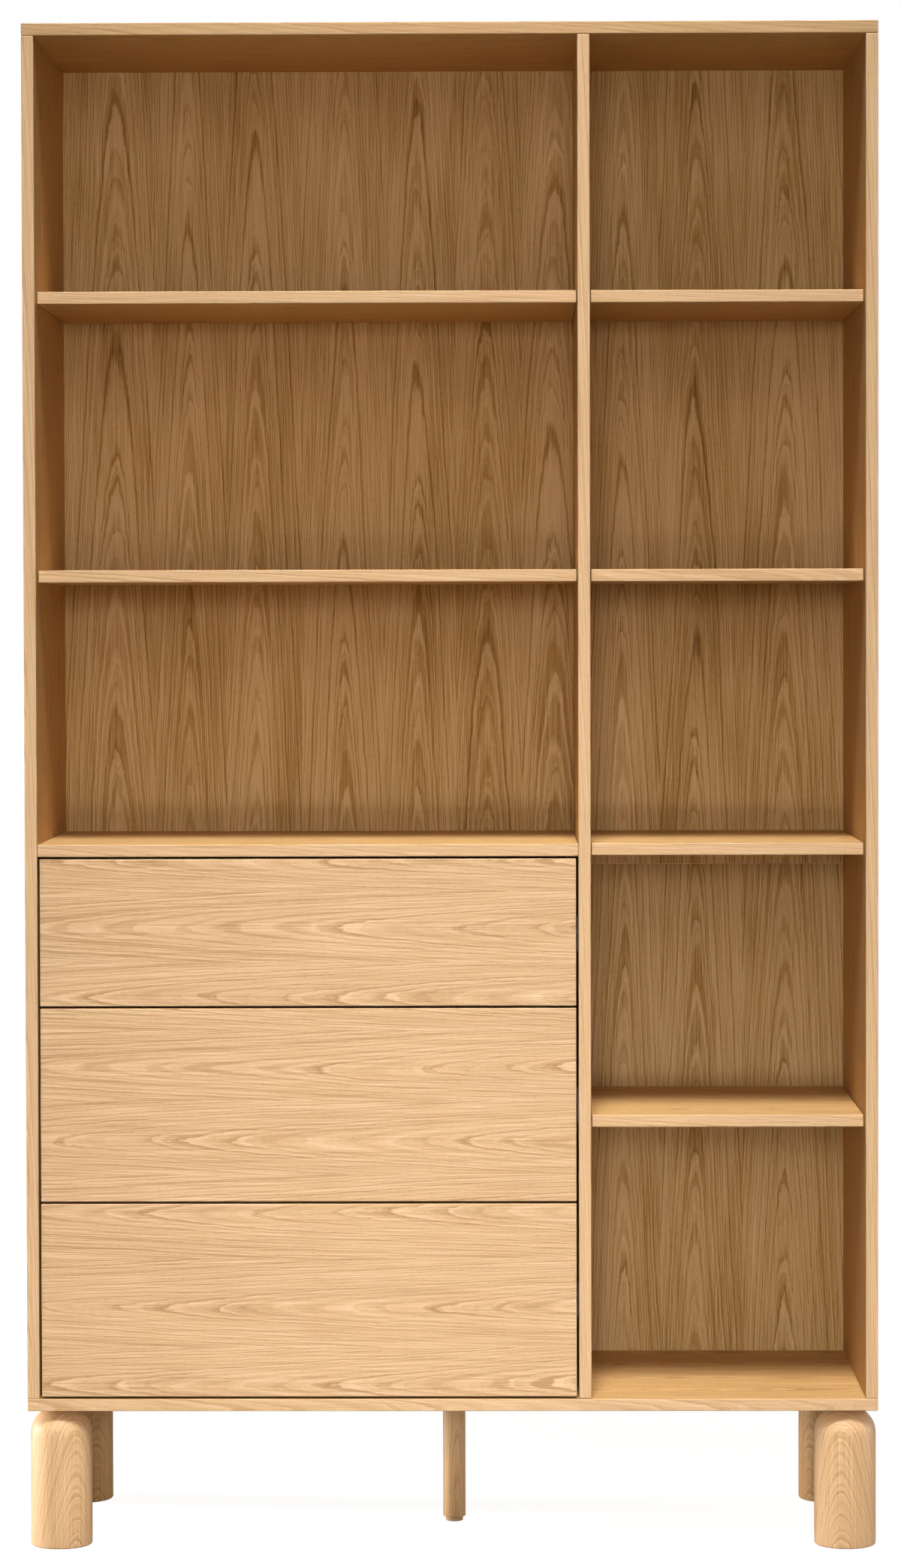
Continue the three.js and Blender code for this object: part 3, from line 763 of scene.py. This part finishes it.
def makeZinc(name, along, values=zincFinish):
    # cold-rolled and zinc plated steel: cloudy, with fine lines along the strip
    material, tree = newMaterial(name)
    held = addNode(tree, "ShaderNodeTexCoord")
    cloud = addNode(tree, "ShaderNodeTexNoise",
                    {"Scale": 1000 / values["crystal"], "Detail": 3, "Roughness": 0.6},
                    {"Vector": held.outputs["Object"]})
    fine, long = values["rollLine"]
    stretch = [1000 / (long if axis == along else fine) for axis in "XYZ"]
    lines = addNode(tree, "ShaderNodeVectorMath", {"operation": "MULTIPLY", 1: stretch},
                    {0: held.outputs["Object"]})
    lines = addNode(tree, "ShaderNodeTexNoise", {"Scale": 1, "Detail": 2},
                    {"Vector": lines.outputs[0]})
    mixed = addNode(tree, "ShaderNodeMix", {"data_type": "FLOAT", 0: values["lineShare"]},
                    {2: cloud.outputs[0], 3: lines.outputs[0]})
    colours = addNode(tree, "ShaderNodeValToRGB", links={0: mixed.outputs[0]})
    fillRamp(colours, values["colourAt"], values["colour"])
    smooth, dull = values["roughness"]
    low, high = values["roughFrom"]
    rough = addNode(tree, "ShaderNodeMapRange",
                    {"From Min": low, "From Max": high, "To Min": smooth, "To Max": dull},
                    {"Value": mixed.outputs[0]})
    bump = addNode(tree, "ShaderNodeBump", {"Strength": 0.7, "Distance": values["lineDepth"]},
                   {"Height": lines.outputs[0]})
    shader = addNode(tree, "ShaderNodeBsdfPrincipled", {"Metallic": 1},
                     {"Base Color": colours.outputs[0], "Roughness": rough.outputs[0],
                      "Normal": bump.outputs[0]})
    addNode(tree, "ShaderNodeOutputMaterial", links={"Surface": shader.outputs[0]})
    return material


zincStrip = makeZinc("blackZincStrip", "Y", gapShadeBlackZincFinish)
zincRod = makeZinc("zincPlatedRod", "Z")
for name in nodes:
    if name.endswith("_bolt"):
        repaint(name, zincRod)

# Runners: three channels folded from strip, the middle one with its rows of balls

channel = {
    "sheet": 0.0012,
    "bend": (0.0011, 4),      # radius, segments
    "lip": 0.0016,            # folded edge that keeps the balls in the middle channel
    "ballRadius": 0.0012,
    "ballPitch": 0.012,
    "rowEnds": 0.009,         # from an end of the channel to its first ball
    "cage": (0.0004, 0.0021),  # thickness, width
    "cageEnds": 0.002,        # past the first and the last ball
}


def foldStrip(path, sheet, bend, start, end):
    # path: the strip's outer side, across the runner; the sheet lies on its left
    shape = bmesh.new()
    points = [shape.verts.new((x, start, z)) for x, z in path]
    edges = [shape.edges.new(pair) for pair in zip(points, points[1:])]
    drawn = bmesh.ops.extrude_edge_only(shape, edges=edges)["geom"]
    far = [part for part in drawn if isinstance(part, bmesh.types.BMVert)]
    bmesh.ops.translate(shape, verts=far, vec=(0, end - start, 0))
    bends = [edge for edge in shape.edges if len(edge.link_faces) == 2]
    if bends:
        radius, segments = bend
        bmesh.ops.bevel(shape, geom=bends, offset=radius, offset_type="OFFSET", affect="EDGES",
                        segments=segments, profile=0.5, material=-1)
    bmesh.ops.solidify(shape, geom=shape.faces[:], thickness=sheet)
    bmesh.ops.recalc_face_normals(shape, faces=shape.faces)
    return keepMesh(shape, "strip")


def makeRunnerMember(name, node, body, webSide, values):
    # webSide: -1 where the web is on the left of the channel, 1 on the right
    low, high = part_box(node)
    web, tip = (low[0], high[0]) if webSide < 0 else (high[0], low[0])
    path = [(tip, high[2]), (web, high[2]), (web, low[2]), (tip, low[2])]
    ballRows = node.endswith("middle_member")
    if ballRows:
        lip = values["lip"]
        path = [(tip, high[2] - lip)] + path + [(tip, low[2] + lip)]
    shape = bmesh.new()
    strips = [foldStrip(path, -webSide * values["sheet"], values["bend"], low[1], high[1])]
    if ballRows:
        radius = values["ballRadius"]
        thick, wide = values["cage"]
        across = web - webSide * (values["sheet"] + radius)
        start, end = low[1] + values["rowEnds"], high[1] - values["rowEnds"]
        past = values["cageEnds"]
        count = int((end - start) / values["ballPitch"])
        for z in (high[2] - values["sheet"] - radius, low[2] + values["sheet"] + radius):
            side = across - thick / 2
            strips.append(foldStrip([(side, z - wide / 2), (side, z + wide / 2)], -thick,
                                    values["bend"], start - past, end + past))
            for i in range(count + 1):
                place = Matrix.Translation((across, start + (end - start) * i / count, z))
                bmesh.ops.create_icosphere(shape, subdivisions=2, radius=radius, matrix=place)
        for face in shape.faces:
            face.material_index = 1
            face.smooth = True
    for strip in strips:
        shape.from_mesh(strip)
    mesh = keepMesh(shape, name)
    mesh.materials.append(zincStrip)
    mesh.materials.append(zincRod)
    piece = addObject(name, mesh)
    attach(piece, body)
    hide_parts(node)


for drawer in ("lower_drawer", "middle_drawer", "upper_drawer"):
    for side, way in (("left", 1), ("right", -1)):
        runnerName = drawer + "_" + side + "_runner_"
        for member, body, webSide in (("case_member", "case", -way),
                                      ("middle_member", runnerName + "middle", -way),
                                      ("drawer_member", drawer, way)):
            title = "".join(word.capitalize() for word in (runnerName + member).split("_"))
            makeRunnerMember(title[0].lower() + title[1:], runnerName + member, body, webSide,
                             channel)
print("runners made")

# Fastenings: pan heads with a cross recess in the runners, flat pin heads in the back

panHead = {
    "radius": 0.0034,
    "height": 0.0013,
    "flatShare": 0.72,        # of the radius, the flat top
    "roundShare": 0.55,       # of the height, the sloping part below it
    "steps": 12,
    "crossArm": 0.0017,
    "crossWidth": 0.00045,    # half the width of an arm
    "crossDepth": 0.0009,
    "places": (-0.133, -0.005, 0.123),
    "drawerShift": -0.01,     # of the places, on the drawer members
}


def makePanHead(values):
    # one head, seated at z 0 and facing up; the others are copies
    shape = bmesh.new()
    radius, height, steps = values["radius"], values["height"], values["steps"]
    arm, width = values["crossArm"], values["crossWidth"]
    flat, sloping = values["flatShare"], values["roundShare"]
    rim = bmesh.ops.create_circle(shape, segments=steps, radius=flat * radius)["verts"]
    bmesh.ops.rotate(shape, verts=rim, matrix=Matrix.Rotation(math.pi / steps, 3, "Z"))
    rimEdges = list(shape.edges)
    cross = [(width, arm), (width, width), (arm, width)]
    cross += [(y, -x) for x, y in cross]
    cross += [(-x, -y) for x, y in cross]
    cross = [shape.verts.new((x, y, 0)) for x, y in cross]
    crossEdges = [shape.edges.new((cross[i - 1], cross[i])) for i in range(len(cross))]
    bmesh.ops.bridge_loops(shape, edges=rimEdges + crossEdges)
    sunk = bmesh.ops.extrude_edge_only(shape, edges=crossEdges)["geom"]
    bottom = [part for part in sunk if isinstance(part, bmesh.types.BMVert)]
    bmesh.ops.translate(shape, verts=bottom, vec=(0, 0, -values["crossDepth"]))
    bmesh.ops.edgeloop_fill(shape, edges=[e for e in shape.edges
                                          if e.is_boundary and e.verts[0] in bottom])
    for scale, drop in ((1 / flat, sloping * height), (1, (1 - sloping) * height)):
        skirt = bmesh.ops.extrude_edge_only(shape, edges=rimEdges)["geom"]
        low = [part for part in skirt if isinstance(part, bmesh.types.BMVert)]
        bmesh.ops.scale(shape, verts=low, vec=(scale, scale, 1))
        bmesh.ops.translate(shape, verts=low, vec=(0, 0, -drop))
        rimEdges = [part for part in skirt if isinstance(part, bmesh.types.BMEdge)
                    and all(v in low for v in part.verts)]
    bmesh.ops.edgeloop_fill(shape, edges=rimEdges)
    bmesh.ops.translate(shape, verts=shape.verts, vec=(0, 0, height))
    bmesh.ops.recalc_face_normals(shape, faces=shape.faces)
    return keepMesh(shape, "panHead")


def placeCopies(name, model, spots, material, body):
    # spots: where each copy sits and which way it faces
    shape = bmesh.new()
    for place, facing in spots:
        known = len(shape.verts)
        shape.from_mesh(model)
        shape.verts.ensure_lookup_table()
        turn = Vector(facing).to_track_quat("Z", "Y").to_matrix()
        bmesh.ops.transform(shape, matrix=Matrix.Translation(place) @ turn.to_4x4(),
                            verts=shape.verts[known:])
    mesh = keepMesh(shape, name)
    mesh.materials.append(material)
    piece = addObject(name, mesh)
    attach(piece, body)


def placeRunnerScrews(values):
    head = makePanHead(values)
    caseSpots = []
    for level in ("lower", "middle", "upper"):
        drawer = level + "_drawer"
        drawerSpots = []
        for side, way in (("left", 1), ("right", -1)):
            runner = drawer + "_" + side + "_runner_"
            low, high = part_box(runner + "case_member")
            middle = (low[2] + high[2]) / 2
            web = (low if way > 0 else high)[0] + way * channel["sheet"]
            caseSpots += [((web, y, middle), (way, 0, 0)) for y in values["places"]]
            low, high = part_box(runner + "drawer_member")
            web = (high if way > 0 else low)[0] - way * channel["sheet"]
            drawerSpots += [((web, y + values["drawerShift"], middle), (-way, 0, 0))
                            for y in values["places"]]
        placeCopies(level + "DrawerScrews", head, drawerSpots, zincRod, drawer)
    placeCopies("caseRunnerScrews", head, caseSpots, zincRod, "case")


placeRunnerScrews(panHead)

backPin = {
    "radius": 0.0017,
    "topShare": 0.85,         # of the radius
    "proud": 0.0001,
    "sunk": 0.0004,
    "segments": 16,
    "inset": 0.004,           # from the edge of a sheet
    "spacing": 0.155,
}


def placeBackPins(values):
    shape = bmesh.new()
    proud, sunk = values["proud"], values["sunk"]
    bmesh.ops.create_cone(shape, cap_ends=True, segments=values["segments"],
                          radius1=values["radius"], radius2=values["topShare"] * values["radius"],
                          depth=proud + sunk)
    bmesh.ops.translate(shape, verts=shape.verts, vec=(0, 0, (proud - sunk) / 2))
    head = keepMesh(shape, "pinHead")
    spots = []
    divider = sum(corner[0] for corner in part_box("divider_board")) / 2
    inset = values["inset"]
    for sheet in ("lower_back_sheet", "upper_back_sheet"):
        low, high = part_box(sheet)
        left, right, bottom, top = low[0] + inset, high[0] - inset, low[2] + inset, high[2] - inset
        edgeZ = bottom if sheet == "lower_back_sheet" else top
        across = round((right - left) / values["spacing"])
        spots += [(left + (right - left) * i / across, edgeZ) for i in range(across + 1)]
        up = round((top - bottom) / values["spacing"])
        rows = [bottom + (top - bottom) * i / up for i in range(up + 1)]
        spots += [(x, z) for x in (left, divider, right) for z in rows
                  if abs(z - edgeZ) > inset]
    spots = [((x, high[1], z), (0, 1, 0)) for x, z in spots]
    placeCopies("backPins", head, spots, zincRod, "case")


placeBackPins(backPin)

levellingStem = {
    "radius": 0.004,
    "coreRadius": 0.0033,
    "low": 0.0052,
    "high": 0.039,
    "pitch": 0.00125,         # M8
    "crest": (0.4, 0.55),     # where the crest starts and ends, in shares of the pitch
    "rootFrom": 0.95,
    "steps": 40,
}


def makeLevellingStem(values):
    low, high, pitch = values["low"], values["high"], values["pitch"]
    radius, core = values["radius"], values["coreRadius"]
    outline = [(0, low), (core, low)]
    for i in range(int((high - low) / pitch)):
        start = low + i * pitch
        outline += [(radius, start + share * pitch) for share in values["crest"]]
        outline.append((core, start + values["rootFrom"] * pitch))
    outline += [(core, high), (0, high)]
    piece = turnPiece("levellingStem", outline, [], values["steps"], (0, 0, 0))
    piece.data.materials.append(zincRod)
    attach(piece, "levelling_foot")
    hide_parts("levelling_stem")


makeLevellingStem(levellingStem)
print("foot and metal made")

# Drawer boxes in birch plywood: pale rotary-cut faces with a slow watery figure, and
# layers that show at the edges, long grain and end grain by turns, with dark glue lines

plyFinish = {
    "face": ("#bfa477", "#d3bc90", "#ddcaa4"),
    "edge": ("#cfb888", "#a98857"),
    "glueLine": "#8a6a40",
    "layer": 1.34,            # mm
    "glueShare": 0.1,
    "faceAt": (0.32, 0.5, 0.66),
    "figure": (26, 210),      # mm across and along
    "bend": 0.6,              # how far the figure is distorted
    "fleck": (0.9, 7),        # mm, about twice as coarse as real
    "fleckShare": 0.35,
    "roughness": 0.5,
    "bumpDepth": 0.00004,     # m
}


def makePly(name, order, start, values=plyFinish):
    # order: axes across, along and through the sheet; start: where its first layer begins
    material, tree = newMaterial(name)
    held = addNode(tree, "ShaderNodeTexCoord")
    place = placeInWood(tree, held, order, ((1, 0), (1, 0), (1, start * 1000)))
    noises = {}
    for key, detail, bend in (("figure", 3, values["bend"]), ("fleck", 2, 0)):
        across, along = values[key]
        scaled = addNode(tree, "ShaderNodeVectorMath",
                         {"operation": "DIVIDE", 1: (across, along, across)}, {0: place})
        noises[key] = addNode(tree, "ShaderNodeTexNoise",
                              {"Scale": 1, "Detail": detail, "Distortion": bend},
                              {"Vector": scaled.outputs[0]}).outputs[0]
    mixed = addNode(tree, "ShaderNodeMix", {"data_type": "FLOAT", 0: values["fleckShare"]},
                    {2: noises["figure"], 3: noises["fleck"]})
    face = addNode(tree, "ShaderNodeValToRGB", links={0: mixed.outputs[0]})
    fillRamp(face, values["faceAt"], values["face"])
    # the layers, seen on the edges
    through = addNode(tree, "ShaderNodeSeparateXYZ", links={0: place}).outputs["Z"]
    layer = addNode(tree, "ShaderNodeMath", {"operation": "DIVIDE", 1: values["layer"]},
                    {0: through})
    turn = addNode(tree, "ShaderNodeMath", {"operation": "FLOOR"}, {0: layer.outputs[0]})
    turn = addNode(tree, "ShaderNodeMath", {"operation": "FLOORED_MODULO", 1: 2},
                   {0: turn.outputs[0]})
    inside = addNode(tree, "ShaderNodeMath", {"operation": "FRACT"}, {0: layer.outputs[0]})
    glued = addNode(tree, "ShaderNodeMath", {"operation": "LESS_THAN", 1: values["glueShare"]},
                    {0: inside.outputs[0]})
    long, short = (toLinear(colour) for colour in values["edge"])
    layers = addNode(tree, "ShaderNodeMix", {"data_type": "RGBA", 6: long, 7: short},
                     {0: turn.outputs[0]})
    fibres = addNode(tree, "ShaderNodeMix",
                     {"data_type": "RGBA", "blend_type": "MULTIPLY", 0: values["fleckShare"]},
                     {6: layers.outputs[2], 7: noises["fleck"]})
    layers = addNode(tree, "ShaderNodeMix",
                     {"data_type": "RGBA", 7: toLinear(values["glueLine"])},
                     {0: glued.outputs[0], 6: fibres.outputs[2]})
    flat = facesAlong(tree, held, order[2])
    colour = addNode(tree, "ShaderNodeMix", {"data_type": "RGBA"},
                     {0: flat, 6: layers.outputs[2], 7: face.outputs[0]})
    bump = addNode(tree, "ShaderNodeBump", {"Strength": 0.6, "Distance": values["bumpDepth"]},
                   {"Height": noises["fleck"]})
    shader = addNode(tree, "ShaderNodeBsdfPrincipled",
                     {"IOR": 1.5, "Roughness": values["roughness"]},
                     {"Base Color": colour.outputs[2], "Normal": bump.outputs[0]})
    addNode(tree, "ShaderNodeOutputMaterial", links={"Surface": shader.outputs[0]})
    return material


# a thin paler sheet for the bases
baseFinish = dict(plyFinish, face=("#c4b08a", "#d4c29c", "#decfae"), layer=1.7)

for drawer in ("lower_drawer", "middle_drawer", "upper_drawer"):
    for part, order, finish in (("left_side", "ZYX", plyFinish), ("right_side", "ZYX", plyFinish),
                                ("back", "ZXY", plyFinish), ("base", "YXZ", baseFinish)):
        name = drawer + "_" + part
        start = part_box(name)[0]["XYZ".index(order[2])]
        repaint(name, makePly("birchPly_" + name, order, start, finish))
print("drawer boxes made")
